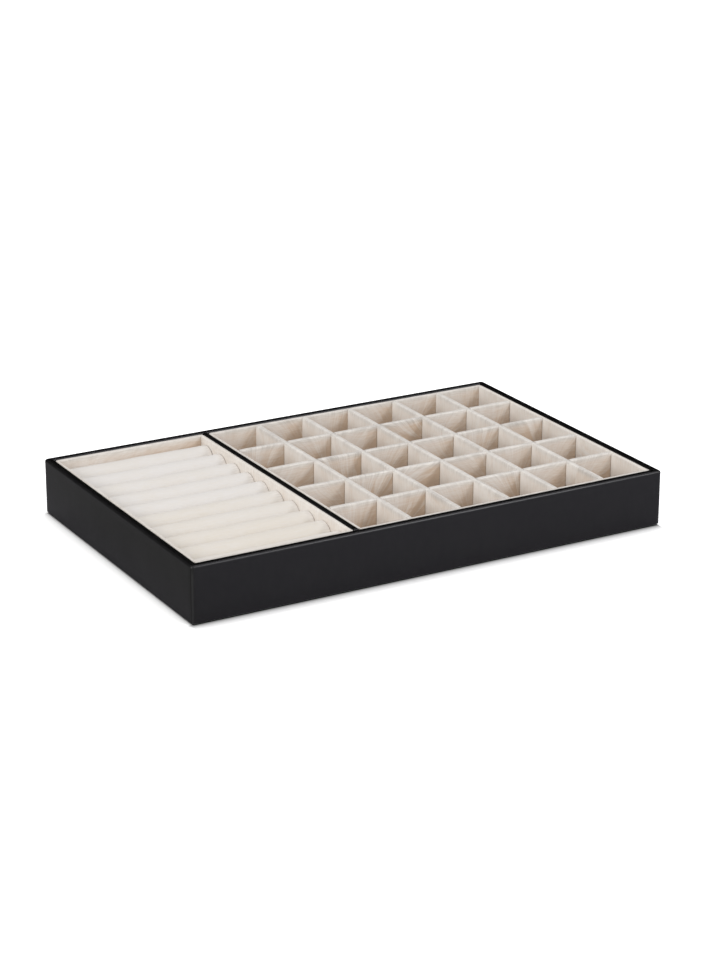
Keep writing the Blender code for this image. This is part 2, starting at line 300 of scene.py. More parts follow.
def makeStudio():
    scene = bpy.context.scene
    scene.view_settings.view_transform = "Standard"
    world = bpy.data.worlds.new("studio")
    scene.world = world
    world.use_nodes = True
    graph = Graph(world.node_tree)
    path = graph.node("ShaderNodeLightPath")
    kinds = ("Is Camera Ray", "Is Glossy Ray", "Is Transmission Ray")
    direct, glossy, through = (Wire(graph, path.outputs[kind]) for kind in kinds)
    seen = (direct + glossy + through).math("MINIMUM", 1)
    strength = seen.ramp(0, 1, studio["worldLight"], 1, kind="LINEAR")
    back = graph.wire("ShaderNodeBackground", {"Color": (1, 1, 1, 1), "Strength": strength})
    graph.node("ShaderNodeOutputWorld", (back,))
    makeFloor()
    makeDarkTent()
    for name, (place, size, watts, colour) in studio["lamps"].items():
        lamp = bpy.data.objects.new(name, bpy.data.lights.new(name, "AREA"))
        lamp.data.shape = "DISK"
        lamp.data.size = size
        lamp.data.energy = watts
        lamp.data.color = colour
        lamp.location = place
        lamp.rotation_euler = (-Vector(place)).to_track_quat("-Z", "Y").to_euler()
        scene.collection.objects.link(lamp)


makeCamera()
makeStudio()
print("camera and studio ready")


# Materials

leatherLook = {
    "dark": (0.0025, 0.0024, 0.0023, 1),
    "light": (0.0047, 0.0045, 0.0043, 1),
    # edge: the paler tone of worn edges; on the outer rim and down the upright corners it also paints
    # their highlights
    "edge": (0.018, 0.018, 0.019, 1),
    "grain": 1500,           # pebbles per metre
    "warp": 0.5 * mm,        # how far they are pushed out of their rows
    "mottle": 260,
    "drawn": (1, 1, 0.4),    # the mottle is drawn out over the height
    "roughness": (0.30, 0.38),
    "specular": 0.45,
    "bump": 0.07 * mm,
}


def makeLeather(name, look):
    material, graph = newMaterial(name)
    place = graph.wire("ShaderNodeTexCoord", out=3)
    warp = graph.noise(place, look["grain"] * 0.6, out=1)
    centred = graph.vector("SUBTRACT", warp, (0.5, 0.5, 0.5))
    bent = graph.vector("ADD", place, graph.scaled(centred, look["warp"]))
    cells = {"Vector": bent, "Scale": look["grain"], "Smoothness": 0.6}
    pebble = graph.wire("ShaderNodeTexVoronoi", cells, feature="SMOOTH_F1")
    drawn = graph.vector("MULTIPLY", place, look["drawn"])
    mottle = graph.noise(drawn, look["mottle"], detail=3)
    broad = graph.noise(place, look["mottle"] * 0.08, detail=2)
    tone = (mottle * 0.6 + broad * 0.4).ramp(0.3, 0.7)
    colour = graph.mixColour(tone, look["dark"], look["light"])
    # Worn edges are paler, and the same map paints the rim's highlight, a highlight spot at the rims'
    # corners and a highlight line down the upright corners
    edge = graph.wire("ShaderNodeAttribute", out=2, attribute_name="edgeWearAndHighlight")
    colour = graph.mixColour(edge * (mottle * 0.8 + 0.4).math("MINIMUM", 1), colour, look["edge"])
    low, high = look["roughness"]
    roughness = (mottle * 0.5 + pebble * 0.5).ramp(0.2, 0.8, low, high)
    height = (1 - pebble) * 0.8 + graph.noise(place, look["grain"] * 2.5) * 0.2
    bump = (0.6, look["bump"])
    endMaterial(graph, colour, roughness, height, bump, Specular_IOR_Level=look["specular"])
    return material


velvetLook = {
    "lining": {
        "colour": (0.80, 0.765, 0.725, 1),
        # brushed: the darker, browner pile, towards which the painted shade also pulls
        "brushed": (0.60, 0.47, 0.36, 1),
        # crown: a darker tone painted on the tops, which catch more light
        "crown": (0.66, 0.63, 0.595, 1),
        # the dark shade painted in the corners beside the crossings
        "paintedJoinShade": (0.30, 0.24, 0.19, 1),
        # lit: paler, painted light beside the crossings on the side boards
        "lit": (0.95, 0.925, 0.89, 1),
        "creases": (0.86, 0.98),     # from where to where the map's crease takes the painted shade
        # how strongly the painted shade darkens the pile in the cells
        "pressed": 0.62,
        "fans": 1.0,
        "streaks": 0.26,
        "drift": 0.28,
    },
    "rolls": {
        "colour": (0.70, 0.675, 0.655, 1),
        "brushed": (0.665, 0.605, 0.515, 1),
        # crown: a paler tone painted near the ends, against the shade there
        "crown": (0.83, 0.79, 0.75, 1),
        # the shade painted where the ends meet the liner
        "paintedJoinShade": (0.30, 0.26, 0.23, 1),
        "creases": (0.0, 1.0),
        "pressed": 0.42,
        "fans": 0.0,
        "streaks": 0.30,
        "drift": 0.5,
    },
}

pileLook = {
    "warp": 28,              # per metre, as the next three
    "streaks": 900,
    "drift": 45,
    "tufts": 3200,
    "combed": 0.09,          # how far the streaks are drawn out along the nap
    "wedges": (1.3, 8, 3.0),     # a fan's broad wedges: round its point, away from it, scale
    "lines": (18, 32, 1.0),      # the fine combed lines in them
    "crown": 0.85,           # how fully the crown takes its painted tone, and the places beside the crossings and at the rolls' ends their painted shade and light
    "crease": 0.7,
    "worn": 0.6,             # how strongly the brushing shows on the crown
}


def makeVelvet(name, look):
    # The pile lies in brushed fans and streaks, read from the pieces' own maps in metres
    material, graph = newMaterial(name)
    nap = graph.wire("ShaderNodeAttribute", out=1, attribute_name="nap")
    fan = graph.wire("ShaderNodeAttribute", out=1, attribute_name="fan")
    # The map read here holds, on the boards, the painted shade, the crown and the shade painted beside
    # the crossings, which is light on the side boards; on the rolls, each roll's warmth, the light
    # painted near the ends and the shade painted where they meet the liner
    pressed, crown, crease = graph.split(graph.wire("ShaderNodeAttribute", out=1, attribute_name="lie"))
    u, v, w = graph.split(nap)
    warp = graph.noise(nap, pileLook["warp"], detail=1) - 0.5
    combed = graph.join(u * pileLook["combed"] + warp * 2 * mm, v + warp * 6 * mm, w)
    streaks = graph.noise(combed, pileLook["streaks"], detail=3, roughness=0.65).ramp(0.3, 0.7)
    drift = graph.noise(nap, pileLook["drift"], detail=3, roughness=0.55)
    pile = graph.noise(nap, pileLook["tufts"], detail=1)
    brush = (0.5 - drift) * look["drift"] + (0.5 - streaks) * look["streaks"]
    height = pile * 0.25 + streaks * 0.3
    inCell = 1 - crown.ramp(0.8, 1) * look["fans"]
    near, crease = crease, crease.ramp(*look["creases"]) * inCell
    if look["fans"]:
        # Fans open from a point in each cell: a few broad wedges, and fine combed lines in them
        x, y, z = graph.split(fan)
        angle = y.math("ARCTAN2", x) + warp * 0.25
        reach = graph.vector("LENGTH", graph.join(x, y, 0), out=1)
        strong = z - z.math("FLOOR")
        about, away, scale = pileLook["wedges"]
        wedges = graph.noise(graph.join(angle * about, reach * away, z), scale, detail=1)
        wedges = wedges.ramp(0.475, 0.525)
        about, away, scale = pileLook["lines"]
        lines = graph.noise(graph.join(angle * about, reach * away, z), scale, detail=4, roughness=0.7)
        lines = lines.ramp(0.34, 0.66)
        fine = (lines - 0.5) * (0.14 + pressed * 0.16 + strong * 0.22) * look["fans"]
        flat = (1 - wedges) * (0.02 + strong * (0.14 + pressed * 0.36))
        brush = brush - flat * look["fans"] + fine
        height = height + lines * 0.6 + wedges * 0.5
    # The pile's tone: its brushing, with the shade painted in the cells and beside the crossings pulling
    # it towards the brown
    shade = 0.86 - pressed * look["pressed"] + brush + (pile - 0.5) * 0.3 - crease * 0.5
    shade = shade.math("MINIMUM", 1).math("MAXIMUM", 0)
    colour = graph.mixColour(shade, look["brushed"], look["colour"])
    # A tone is painted on the crown: darker on the boards' tops, which catch more light, and paler near
    # the rolls' ends, against the shade there
    colour = graph.mixColour(crown * pileLook["crown"], colour, look["crown"])
    worn = brush * pileLook["worn"] + 1
    colour = graph.mixColour(crown, colour, graph.join(worn, worn, worn), blend="MULTIPLY")
    # Shade painted in the corners beside the crossings, and where the rolls' ends meet the liner
    colour = graph.mixColour(crease * pileLook["crease"], colour, look["paintedJoinShade"])
    if "lit" in look:
        # Beside the crossings the side boards take painted light, against the shade of the corner
        lit = (near * -1).ramp(0, 1, kind="LINEAR") * inCell
        colour = graph.mixColour(lit * pileLook["crease"], colour, look["lit"])
    endMaterial(
        graph, colour, 0.95, height, (0.55, 0.25 * mm),
        Specular_IOR_Level=0.2, Sheen_Weight=0.1, Sheen_Roughness=0.45, Sheen_Tint=(1, 0.97, 0.93, 1),
    )
    return material


def makeGrainy(name, dark, light, scale, roughness, depth):
    # Card, foam and felt: a fine two-tone grain
    material, graph = newMaterial(name)
    place = graph.wire("ShaderNodeTexCoord", out=3)
    fine = graph.noise(place, scale, detail=4, roughness=0.7)
    broad = graph.noise(place, scale * 0.05, detail=2)
    colour = graph.mixColour((fine * 0.7 + broad * 0.3).ramp(0.3, 0.7), dark, light)
    endMaterial(graph, colour, fine.ramp(0.2, 0.8, roughness - 0.06, roughness), fine, (0.5, depth))
    return material


leather = makeLeather("leatherette", leatherLook)
liningVelvet = makeVelvet("liningVelvet", velvetLook["lining"])
rollVelvet = makeVelvet("rollVelvet", velvetLook["rolls"])
card = makeGrainy("greyCard", (0.30, 0.22, 0.14, 1), (0.46, 0.36, 0.25, 1), 900, 0.9, 0.05 * mm)
foam = makeGrainy("foam", (0.66, 0.64, 0.58, 1), (0.86, 0.85, 0.80, 1), 1400, 0.95, 0.3 * mm)
felt = makeGrainy("felt", (0.008, 0.008, 0.009, 1), (0.03, 0.03, 0.032, 1), 2600, 1.0, 0.25 * mm)
print("materials ready")


# Geometry node trees

def newTree(name, inputs):
    # An empty tree with named inputs, its graph and its input wires
    tree = bpy.data.node_groups.new(name, "GeometryNodeTree")
    tree.interface.new_socket("Geometry", in_out="OUTPUT", socket_type="NodeSocketGeometry")
    for label, kind in inputs.items():
        tree.interface.new_socket(label, in_out="INPUT", socket_type="NodeSocket" + kind)
    graph = Graph(tree)
    entry = graph.node("NodeGroupInput")
    wires = {label: Wire(graph, entry.outputs[label]) for label in inputs}
    return tree, graph, wires


sharpAngle = math.radians(50)     # edges that bend more than this stay sharp


def endTree(graph, geometry, material, turn, place):
    # Sharp creases, placing, then Realize Instances and Set Material
    steep = graph.wire("GeometryNodeInputMeshEdgeAngle") > sharpAngle
    geometry = graph.wire("GeometryNodeSetShadeSmooth", {"Geometry": geometry, "Shade Smooth": True})
    sockets = {"Geometry": geometry, "Selection": steep, "Shade Smooth": False}
    geometry = graph.wire("GeometryNodeSetShadeSmooth", sockets, domain="EDGE")
    sockets = {"Geometry": geometry, "Rotation": turn, "Translation": place}
    geometry = graph.wire("GeometryNodeTransform", sockets)
    geometry = graph.wire("GeometryNodeRealizeInstances", (geometry,))
    geometry = graph.wire("GeometryNodeSetMaterial", {"Geometry": geometry, "Material": material})
    graph.node("NodeGroupOutput", (geometry,))


def storeMaps(graph, geometry, **maps):
    for name, value in maps.items():
        sockets = {"Geometry": geometry, "Name": name, "Value": value}
        settings = {"data_type": "FLOAT_VECTOR", "domain": "CORNER"}
        geometry = graph.wire("GeometryNodeStoreNamedAttribute", sockets, **settings)
    return geometry


def crowd(wire, half, power):
    # Draws evenly spaced points towards both ends of their span
    share = wire / half
    rest = 1 - share.math("ABSOLUTE").math("MINIMUM", 1)
    return share.math("SIGN") * (1 - rest ** power) * half


def bake(name, tree, values):
    # Runs a tree on an empty mesh and keeps the result as a plain mesh
    holder = bpy.data.objects.new(name, bpy.data.meshes.new(name))
    bpy.context.scene.collection.objects.link(holder)
    modifier = holder.modifiers.new(tree.name, "NODES")
    modifier.node_group = tree
    for item in tree.interface.items_tree:
        if item.in_out == "INPUT":
            modifier[item.identifier] = values[item.name]
    bpy.context.view_layer.update()
    evaluated = holder.evaluated_get(bpy.context.evaluated_depsgraph_get())
    mesh = bpy.data.meshes.new_from_object(evaluated)
    holder.modifiers.clear()
    empty = holder.data
    holder.data = mesh
    bpy.data.meshes.remove(empty)
    mesh.name = name
    return holder


boardShape = {
    "stepAlong": 1.5 * mm,
    "stepUp": 1.2 * mm,
    "stepThrough": 0.55 * mm,
    "edge": 1.35 * mm,
    "linerEdge": 1.4 * mm,
    "padEdge": 1.0 * mm,
    "corner": 3.6 * mm,
    "square": 0.01 * mm,     # the corner of a board that ends square
    "endGrow": 0.7,          # of the edge, so that ends which meet a board stay square
    "swell": 0.16 * mm,
    "tuck": 0.1 * mm,
    "longTuck": 0.4,         # of the tuck, on the long dividers
    "tuckReach": 2.0 * mm,
    "lumps": 0.09 * mm,
    "lumpScales": (70, 260),     # per metre, broad and small
    "pile": 0.1 * mm,        # how far the pile stands over the hard size
    "frontPile": 0.3 * mm,   # the same on top of the front liners
    "slotWidth": 4.3 * mm,
    "slotBeyond": 0.05,      # how far the cutters reach past the board
    "crossing": 2.1 * mm,    # from a crossing's middle to the face of the board that crosses
    "creaseReach": 8 * mm,   # how far beside a crossing the crease is mapped
    "creaseTop": 0.88,       # from where, in half heights, it ends at the top
    "crownFrom": 0.7,        # from where the top counts as crown
}


def makeBoardTree():
    # A velvet-covered board along X: rounded edges, soft swelling between crossings, halving slots
    tree, graph, wires = newTree("velvetBoard", {
        "Size": "Vector", "Place": "Vector", "Turn": "Vector", "Edge": "Float", "Corner": "Float",
        "Outside": "Float", "Steps X": "Int", "Steps Y": "Int", "Steps Z": "Int", "Swell": "Float",
        "Tuck": "Float", "Lumps": "Float", "Cell start": "Float", "Cell pitch": "Float", "Slots": "Int",
        "Slot width": "Float", "Slot low": "Float", "Slot high": "Float", "Fan low": "Vector",
        "Fan high": "Vector", "Painted shade": "Float", "Upright": "Float", "Crease": "Float",
        "Crossing": "Float", "Crown": "Float", "End grow": "Float", "Seed": "Int",
        "Material": "Material",
    })
    sizeX, sizeY, sizeZ = graph.split(wires["Size"])
    halves = [size * 0.5 for size in (sizeX, sizeY, sizeZ)]
    block = {"Size": wires["Size"]}
    block.update({"Vertices " + a: wires["Steps " + a] for a in "XYZ"})
    geometry = graph.wire("GeometryNodeMeshCube", block)

    # Round every edge: each point is pushed to its distance from a smaller box
    # The box may be longer than the board, which then ends square where it meets another
    position = graph.split(graph.wire("GeometryNodeInputPosition"))
    grown = [halves[0] + wires["End grow"], halves[1], halves[2]]
    spread = [crowd(c * (wide / half), wide, 1.5) for c, half, wide in zip(position, halves, grown)]
    core = []
    for c, half in zip(spread, grown):
        inner = half - wires["Edge"]
        core.append(c.math("MINIMUM", inner).math("MAXIMUM", inner * -1))
    core = graph.join(*core)
    away = graph.vector("NORMALIZE", graph.vector("SUBTRACT", graph.join(*spread), core))
    rounded = graph.vector("ADD", core, graph.scaled(away, wires["Edge"]))
    rounded = graph.split(rounded)
    rounded[0] = rounded[0].math("MINIMUM", halves[0]).math("MAXIMUM", halves[0] * -1)
    rounded = graph.join(*rounded)
    geometry = graph.wire("GeometryNodeSetPosition", {"Geometry": geometry, "Position": rounded})

    # Slots: one cutter box at each crossing
    height = wires["Slot high"] - wires["Slot low"]
    through = sizeY * 3
    cutterSize = graph.join(wires["Slot width"], through, height)
    cutter = graph.wire("GeometryNodeMeshCube", {"Size": cutterSize})
    first = wires["Cell start"] + wires["Cell pitch"]
    middle = (wires["Slot high"] + wires["Slot low"]) * 0.5
    sockets = {
        "Count": wires["Slots"],
        "Start Location": graph.join(first, 0, middle),
        "Offset": graph.join(wires["Cell pitch"], 0, 0),
    }
    crossings = graph.wire("GeometryNodeMeshLine", sockets)
    cutters = graph.wire("GeometryNodeInstanceOnPoints", {"Points": crossings, "Instance": cutter})
    cutters = graph.wire("GeometryNodeRealizeInstances", (cutters,))
    boolean = graph.node("GeometryNodeMeshBoolean", operation="DIFFERENCE", solver="EXACT")
    graph.tree.links.new(geometry.socket, boolean.inputs["Mesh 1"])
    graph.tree.links.new(cutters.socket, boolean.inputs["Mesh 2"])
    sockets = {"Switch": wires["Slots"] > 0, "False": geometry, "True": Wire(graph, boolean.outputs[0])}
    geometry = graph.wire("GeometryNodeSwitch", sockets, input_type="GEOMETRY")

    # Soft shape: swelling in each cell, tucks at the crossings, small lumps, rounded corners
    x, y, z = graph.split(graph.wire("GeometryNodeInputPosition"))
    run = (x - wires["Cell start"]) / wires["Cell pitch"]
    cell = run.math("FLOOR")
    local = run - cell
    toCrossing = (local - local.math("ROUND")).math("ABSOLUTE") * wires["Cell pitch"]
    fromFace = toCrossing - wires["Crossing"]
    tuck = (fromFace.math("MAXIMUM", 0) / boardShape["tuckReach"]) ** 2
    tuck = (tuck * -1).math("EXPONENT")
    rise = z / halves[2]
    bulge = (1 - rise * rise).math("MAXIMUM", 0) * (local * math.pi).math("SINE").math("ABSOLUTE")
    # The seed moves each board to another part of the noises
    seeded = graph.join(x, y, z + wires["Seed"] * 0.37)
    broad, small = (graph.noise(seeded, scale, detail=1) - 0.5 for scale in boardShape["lumpScales"])
    lump = broad * 2 + small * 0.7
    side = (y / halves[1]).math("MINIMUM", 1).math("MAXIMUM", -1)
    top = rise.ramp(0.5, 1)
    moveY = side * (wires["Swell"] * bulge - wires["Tuck"] * 0.5 * tuck + wires["Lumps"] * lump)
    moveZ = (wires["Lumps"] * lump - wires["Tuck"] * tuck) * top
    over = ((x.math("ABSOLUTE") - halves[0] + wires["Corner"]) / wires["Corner"]).math("MAXIMUM", 0)
    drop = 1 - (1 - over.math("MINIMUM", 1) ** 2).math("SQRT")
    outer = side * wires["Outside"] * 0.5 + 0.5
    moveY = moveY - wires["Outside"] * wires["Corner"].math("MINIMUM", sizeY * 0.8) * drop * outer
    offset = graph.join(0, moveY, moveZ)

    # The nap's own maps: metres along and up over the board, and the fan that each cell is brushed in
    level = x + wires["Seed"] * 0.61
    rising = z + y
    upright = wires["Upright"]
    along = level + (rising - level) * upright
    across = rising + (level - rising) * upright
    nap = graph.join(along, across, wires["Seed"] * 0.23)
    # The whole part of its Z is the fan's number, and the rest says how strongly it was brushed
    number = cell + wires["Seed"] * 17
    spot = {"Min": wires["Fan low"], "Max": wires["Fan high"], "ID": number, "Seed": wires["Seed"]}
    spot = graph.wire("FunctionNodeRandomValue", spot, data_type="FLOAT_VECTOR")
    draw = {"ID": number, "Seed": wires["Seed"] + 400}
    strong = graph.wire("FunctionNodeRandomValue", draw, out=1, data_type="FLOAT")
    number = number + side.math("SIGN") * 2
    here = graph.join(local * wires["Cell pitch"], z + y * 0.3, number + strong * strong * 0.98)
    fan = graph.vector("SUBTRACT", here, graph.vector("MULTIPLY", spot, (1, 1, 0)))
    # The painted shade: darker towards the bottom and most at the lower right of each cell, and a little
    # over the upper part; the crown, where a tone is painted; the creases beside the crossings, where
    # shade is painted, and light on the side boards
    share = local - (side > 0) * (local * 2 - 1)
    depth = (1 - rise) * 0.5
    pressed = (share * 0.5 + depth * 1.15).ramp(0.25, 1.0) + rise.ramp(0.45, 0.75) * 0.2
    pressed = pressed * wires["Painted shade"]
    crown = rise.ramp(boardShape["crownFrom"], 1) * wires["Crown"]
    crease = (1 - fromFace / boardShape["creaseReach"]).math("MAXIMUM", 0)
    crease = crease * (1 - rise.ramp(boardShape["creaseTop"], 1)) * wires["Crease"]
    geometry = storeMaps(graph, geometry, nap=nap, fan=fan, lie=graph.join(pressed, crown, crease))
    geometry = graph.wire("GeometryNodeSetPosition", {"Geometry": geometry, "Offset": offset})
    endTree(graph, geometry, wires["Material"], wires["Turn"], wires["Place"])
    return tree


rollShape = {
    "count": 10,
    "stepsRound": 57,
    "stepsAlong": 104,
    "sheet": 0.8 * mm,
    "fillet": 1.0 * mm,
    "mouth": 4.6 * mm,       # radius of the opening in each gathered end
    "longer": 0.4 * mm,      # how far the cloth reaches past the hard length
    "wider": 0.1 * mm,       # and past the hard width, on each side
    "gather": 0.12 * mm,
    "lumps": 0.32 * mm,
    "lumpScales": (38, 150),     # per metre, broad and small
    "sway": 2.4 * mm,        # how far the grooves wander
    "bayInset": 6.0 * mm,    # from the tray's outside to the bay, where they run straight
    "warmFrom": (4.5, 7.5),  # between these rolls the velvet turns warmer
    "paintedEndLightReach": 9 * mm,       # light is painted on the pile this near the ends
    # the shade is painted this far in from the ends
    "paintedEndShadeReach": 0.9 * mm,
}


def makeRollTree():
    # A stuffed roll along X, turned from a filleted section: soft ends, lumps, flat where rolls press
    tree, graph, wires = newTree("stuffedRoll", {
        "Radius": "Float", "Length": "Float", "Fillet": "Float", "Mouth": "Float", "Place": "Vector",
        "Room": "Float", "Steps round": "Int", "Steps along": "Int", "Gather": "Float", "Lumps": "Float",
        "Sway": "Float", "Bay": "Float", "Seed": "Int", "Material": "Material",
    })
    # The section's four corners: mouth, rim, rim, mouth
    index = graph.wire("GeometryNodeInputIndex")
    atMouth = (index - 1.5).math("ABSOLUTE") > 1
    end = (index > 1.5) * 2 - 1
    outward = wires["Radius"] - (wires["Radius"] - wires["Mouth"]) * atMouth
    corner = graph.join(end * wires["Length"] * 0.5, outward, 0)
    line = graph.wire("GeometryNodeMeshLine", {"Count": 4, "Offset": (0, 0, 0)})
    line = graph.wire("GeometryNodeSetPosition", {"Geometry": line, "Position": corner})
    curve = graph.wire("GeometryNodeMeshToCurve", {"Mesh": line})
    sockets = {"Curve": curve, "Radius": wires["Fillet"], "Count": 12, "Limit Radius": True}
    curve = graph.wire("GeometryNodeFilletCurve", sockets, mode="POLY")

    # A grid of points, sampled along the section and turned about X
    steps = {"Vertices X": wires["Steps along"], "Vertices Y": wires["Steps round"]}
    geometry = graph.wire("GeometryNodeMeshGrid", {"Size X": 1, "Size Y": 1, **steps})
    x, y, z = graph.split(graph.wire("GeometryNodeInputPosition"))
    share = crowd(x, 0.5, 1.4) + 0.5
    sample = graph.node("GeometryNodeSampleCurve", mode="FACTOR", use_all_curves=True)
    graph.tree.links.new(curve.socket, sample.inputs["Curves"])
    graph.tree.links.new(share.socket, sample.inputs["Factor"])
    a, radius, _ = graph.split(Wire(graph, sample.outputs["Position"]))
    angle = y * math.tau
    side = angle.math("SINE")
    up = angle.math("COSINE")
    nap = graph.join(a + wires["Seed"] * 0.41, angle * wires["Radius"], wires["Seed"] * 0.29)

    # Lumps follow the roll, and the cloth is drawn in a little towards the ends
    around = graph.join(a, side * wires["Radius"], up * wires["Radius"] + wires["Seed"] * 0.53)
    broad, small = (graph.noise(around, scale, detail=1) - 0.5 for scale in rollShape["lumpScales"])
    lump = broad * 2 + small * 0.8
    ends = (a.math("ABSOLUTE") / wires["Length"] * 2).ramp(0.8, 1)
    turning = graph.join(0, side * 3, up * 3 + wires["Seed"])
    folds = (graph.noise(turning, 2.4, detail=2) - 0.5) * ends * 1.6
    full = (radius / wires["Radius"]).ramp(0.4, 0.9)
    swell = wires["Lumps"] * (lump + folds) - wires["Gather"] * ends * ends
    radius = radius + swell * full
    flat = (side * radius).math("MINIMUM", wires["Room"]).math("MAXIMUM", wires["Room"] * -1)
    # Each roll's own warmth, the light painted near the ends, and the shade painted where the ends meet
    # the liner
    warmth = wires["Seed"].ramp(*rollShape["warmFrom"]) * 0.8 + (wires["Seed"] * 2.4).math("SINE") * 0.18
    fromEnd = wires["Length"] * 0.5 - a.math("ABSOLUTE")
    paintedEndLight = (fromEnd / rollShape["paintedEndLightReach"]).ramp(1, 0)
    paintedJoinShade = (fromEnd / rollShape["paintedEndShadeReach"]).ramp(1, 0.3)
    geometry = storeMaps(graph, geometry, nap=nap, lie=graph.join(warmth, paintedEndLight, paintedJoinShade))
    # All rolls sway in one common field, so neighbours stay pressed together
    across = flat + graph.split(wires["Place"])[1]
    field = graph.noise(graph.join(a, across * 0.6, 0), 26, detail=1) - 0.5
    inside = (across.math("ABSOLUTE") / wires["Bay"]).ramp(0.8, 1, 1, 0)
    flat = flat + field * inside * wires["Sway"]
    sockets = {"Geometry": geometry, "Position": graph.join(a, flat, up * radius)}
    geometry = graph.wire("GeometryNodeSetPosition", sockets)
    geometry = graph.wire("GeometryNodeMergeByDistance", {"Geometry": geometry, "Distance": 0.01 * mm})
    endTree(graph, geometry, wires["Material"], (0, 0, 0), wires["Place"])
    return tree


def standFor(piece, node):
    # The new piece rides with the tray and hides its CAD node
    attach(piece, "root")
    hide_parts(node)
    return piece


boardTree = makeBoardTree()
rollTree = makeRollTree()
print("geometry node trees ready")


# Velvet lining, dividers and pads

def stepsOver(length, step):
    return max(4, round(length / step))


def makeBoard(name, node, along, changes, raised=0.0):
    # A board in the place of a CAD node, running along X or Y
    low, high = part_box(node)
    high.z += raised
    size = high - low
    place = (high + low) / 2
    if along == "Y":
        size = Vector((size.y, size.x, size.z))
    values = {
        "Size": size + Vector((0, 2 * boardShape["pile"], 0)),
        "Place": place,
        "Turn": (0, 0, math.pi / 2 if along == "Y" else 0),
        "Edge": boardShape["edge"],
        "Corner": boardShape["square"],
        "Outside": 0.0,
        "Steps X": stepsOver(size.x, boardShape["stepAlong"]),
        "Steps Y": stepsOver(size.y, boardShape["stepThrough"]),
        "Steps Z": stepsOver(size.z, boardShape["stepUp"]),
        "Swell": boardShape["swell"],
        "Tuck": 0.0,
        "Lumps": boardShape["lumps"],
        "Cell start": -size.x / 2,
        "Cell pitch": size.x,
        "Slots": 0,
        "Slot width": boardShape["slotWidth"],
        "Slot low": 0.0,
        "Slot high": boardShape["slotBeyond"],
        "Fan low": (-0.02, -0.06, 0),
        "Fan high": (0.06, -0.03, 0),
        "Painted shade": 0.3,
        "Upright": 0.0,
        "Crease": 0.0,
        "Crossing": boardShape["crossing"],
        "Crown": 1.0,
        "End grow": 0.0,
        "Seed": 0,
        "Material": liningVelvet,
    }
    values.update(changes)
    return standFor(bake(name, boardTree, values), node)


def middleOf(node, axis):
    low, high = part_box(node)
    return (low[axis] + high[axis]) / 2


gridLayout = {
    "long": [f"long_divider_{i}" for i in range(1, 6)],
    "cross": [f"cross_divider_{i}" for i in range(1, 5)],
    "fanWall": ((-0.03, -0.040, 0), (0.055, -0.010, 0)),   # between which the fans' points lie
    "fanSide": ((-0.02, -0.30, 0), (0.06, -0.15, 0)),
    "paintedShadeWall": 1.12,     # how strongly the shade is painted in each cell
    "paintedShadeBack": 1.25,
    "paintedShadeRing": 1.2,      # times as much in the ring bay
    "paintedShadeSide": 0.12,
    "crownSide": 0.3,        # the side liners' tops are painted paler than the dividers' tops
    "seeds": {"long": 11, "cross": 31, "wall": 51, "side": 61, "pad": 71, "riser": 72},
}
acrossMiddles = [middleOf(node, 0) for node in gridLayout["long"]]
alongMiddles = [middleOf(node, 1) for node in gridLayout["cross"]]


def cellsAlong(node, axis):
    # Where the crossings lie along a board: start and pitch, from the board's middle
    middles = acrossMiddles if axis == 0 else alongMiddles
    pitch = middles[1] - middles[0]
    return {"Cell start": middles[0] - middleOf(node, axis) - pitch, "Cell pitch": pitch}


def brushed(kind):
    low, high = gridLayout[kind]
    return {"Fan low": low, "Fan high": high}


def makeDividers():
    # Halving slots: the long dividers are cut from below and the cross dividers from above
    ends = {"End grow": boardShape["endGrow"] * boardShape["edge"]}
    for i, node in enumerate(gridLayout["long"]):
        changes = {
            **cellsAlong(node, 1), **brushed("fanSide"), **ends,
            "Slots": len(alongMiddles),
            "Slot low": -boardShape["slotBeyond"],
            "Slot high": 0.0,
            "Tuck": boardShape["tuck"] * boardShape["longTuck"],
            "Painted shade": gridLayout["paintedShadeSide"],
            "Upright": 1.0,
            "Crease": -1.0,
            "Seed": gridLayout["seeds"]["long"] + i,
        }
        makeBoard(f"longDivider{i + 1}", node, "Y", changes)
    for i, node in enumerate(gridLayout["cross"]):
        changes = {
            **cellsAlong(node, 0), **brushed("fanWall"), **ends,
            "Slots": len(acrossMiddles),
            "Tuck": boardShape["tuck"],
            "Painted shade": gridLayout["paintedShadeWall"],
            "Crease": 1.0,
            "Seed": gridLayout["seeds"]["cross"] + i,
        }
        makeBoard(f"crossDivider{i + 1}", node, "X", changes)


def makeLiners():
    for bay in ("ring", "grid"):
        inGrid = bay == "grid"
        for k, side in enumerate(("front", "back")):
            node = f"{bay}_liner_{side}"
            changes = {
                **(cellsAlong(node, 0) if inGrid else {}), **brushed("fanWall"),
                "Edge": boardShape["linerEdge"],
                "Corner": boardShape["corner"],
                "Outside": -1.0 if side == "front" else 1.0,
                "Painted shade": gridLayout["paintedShadeBack"] * (1 if inGrid else gridLayout["paintedShadeRing"]),
                "Seed": gridLayout["seeds"]["wall"] + k,
            }
            raised = boardShape["frontPile"] if side == "front" else 0.0
            makeBoard(f"{bay}Liner{side.capitalize()}", node, "X", changes, raised=raised)
        for k, side in enumerate(("left", "right")):
            node = f"{bay}_liner_{side}"
            changes = {
                **(cellsAlong(node, 1) if inGrid else {}), **brushed("fanSide"),
                "Edge": boardShape["linerEdge"],
                "End grow": boardShape["endGrow"] * boardShape["linerEdge"],
                "Painted shade": gridLayout["paintedShadeSide"],
                "Upright": 1.0,
                "Crease": -1.0 if inGrid else 0.0,
                "Crown": gridLayout["crownSide"],
                "Seed": gridLayout["seeds"]["side"] + k,
            }
            makeBoard(f"{bay}Liner{side.capitalize()}", node, "Y", changes)


